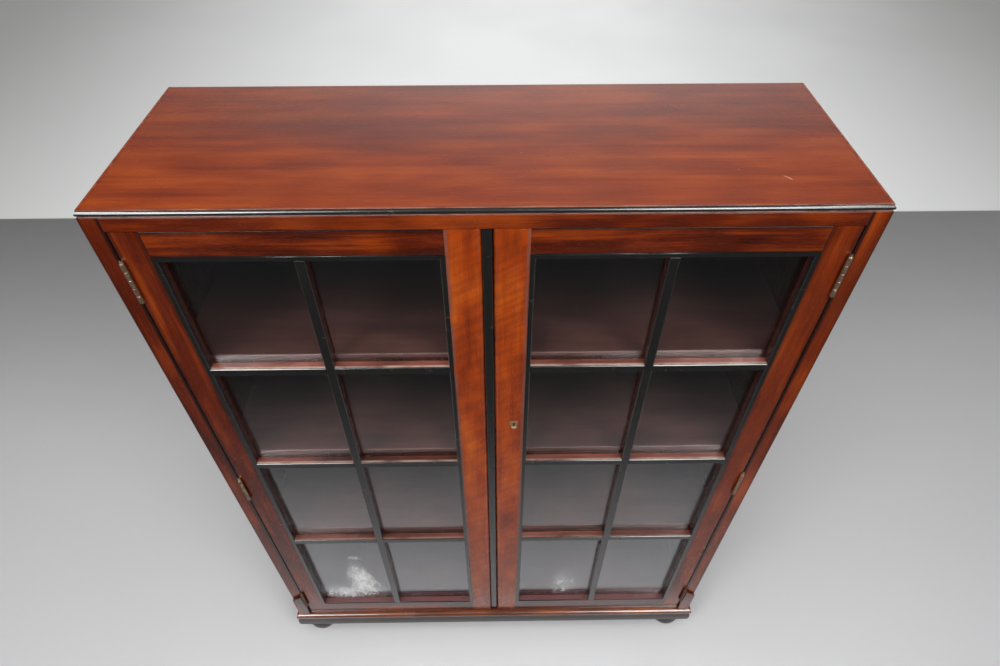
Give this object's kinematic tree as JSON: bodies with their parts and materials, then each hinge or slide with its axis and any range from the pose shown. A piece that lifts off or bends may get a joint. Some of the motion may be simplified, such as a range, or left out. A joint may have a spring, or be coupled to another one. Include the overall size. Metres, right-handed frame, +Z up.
{
  "type": "glazed bookcase",
  "caption": "Low mahogany bookcase with two glazed doors, ebonised glazing bars, a reeded edge band, inner shelves, a moulded plinth and bun feet.",
  "frame": {"origin": "on the floor under the middle of the plan outline", "axes": "+Z up, +X to the right seen from the front, the doors face -Y"},
  "size_m": [1.022, 0.344, 1.35],
  "materials": {
    "mahogany_top": "french polished mahogany, worn",
    "mahogany": "polished figured mahogany",
    "inner_wood": "plain mahogany, satin",
    "ebonised": "black stained and polished wood",
    "brass": "dull aged brass",
    "glass": "clear old window glass"
  },
  "bodies": {
    "carcase": {"back_feet": "ebonised", "back_panel": "inner_wood", "base_blocks": "mahogany", "bolt_keepers": "brass", "bottom_board": "inner_wood", "bottom_rail": "mahogany", "door_stop": "inner_wood", "edge_band_front": "ebonised", "edge_band_left": "ebonised", "edge_band_right": "ebonised", "front_feet": "ebonised", "hinge_frame_leaves": "brass", "left_front_stile": "mahogany", "left_side": "mahogany", "plinth_back_rail": "inner_wood", "plinth_board_front": "ebonised", "plinth_board_left": "ebonised", "plinth_board_right": "ebonised", "plinth_corner_blocks": "inner_wood", "plinth_nosing_front": "mahogany", "plinth_nosing_left": "mahogany", "plinth_nosing_right": "mahogany", "right_front_stile": "mahogany", "right_side": "mahogany", "shelf_lower": "inner_wood", "shelf_middle": "inner_wood", "shelf_upper": "inner_wood", "top_board": "mahogany_top", "top_rail": "mahogany"},
    "left_door": {"bolt_cases": "brass", "left_door_bar_facings": "ebonised", "left_door_bottom_rail": "mahogany", "left_door_cross_bars": "mahogany", "left_door_glazing_beads": "mahogany", "left_door_hinge_leaves": "brass", "left_door_hinge_stile": "mahogany", "left_door_meeting_stile": "mahogany", "left_door_opening_moulding": "ebonised", "left_door_panes": "glass", "left_door_top_rail": "mahogany", "left_door_upright_bar": "mahogany", "meeting_strip": "ebonised", "strike_plate": "brass"},
    "right_door": {"escutcheon": "brass", "lock_case": "brass", "right_door_bar_facings": "ebonised", "right_door_bottom_rail": "mahogany", "right_door_cross_bars": "mahogany", "right_door_glazing_beads": "mahogany", "right_door_hinge_leaves": "brass", "right_door_hinge_stile": "mahogany", "right_door_meeting_stile": "mahogany", "right_door_opening_moulding": "ebonised", "right_door_panes": "glass", "right_door_top_rail": "mahogany", "right_door_upright_bar": "mahogany"},
    "lock_bolt": {"lock_bolt": "brass"},
    "upper_bolt": {"upper_bolt": "brass"},
    "lower_bolt": {"lower_bolt": "brass"}
  },
  "joints": [
    {"name": "left_door_hinge", "type": "hinge", "parent": "carcase", "child": "left_door", "pos_m": [-0.4706, -0.1653, 0.7], "axis": [0, 0, -1], "range_deg": [0, 180]},
    {"name": "right_door_hinge", "type": "hinge", "parent": "carcase", "child": "right_door", "pos_m": [0.4706, -0.1653, 0.7], "axis": [0, 0, 1], "range_deg": [0, 180]},
    {"name": "lock_bolt_slide", "type": "slide", "parent": "right_door", "child": "lock_bolt", "axis": [-1, 0, 0], "range_m": [0, 0.0095]},
    {"name": "upper_bolt_slide", "type": "slide", "parent": "left_door", "child": "upper_bolt", "axis": [0, 0, 1], "range_m": [0, 0.01]},
    {"name": "lower_bolt_slide", "type": "slide", "parent": "left_door", "child": "lower_bolt", "axis": [0, 0, -1], "range_m": [0, 0.01]}
  ]
}
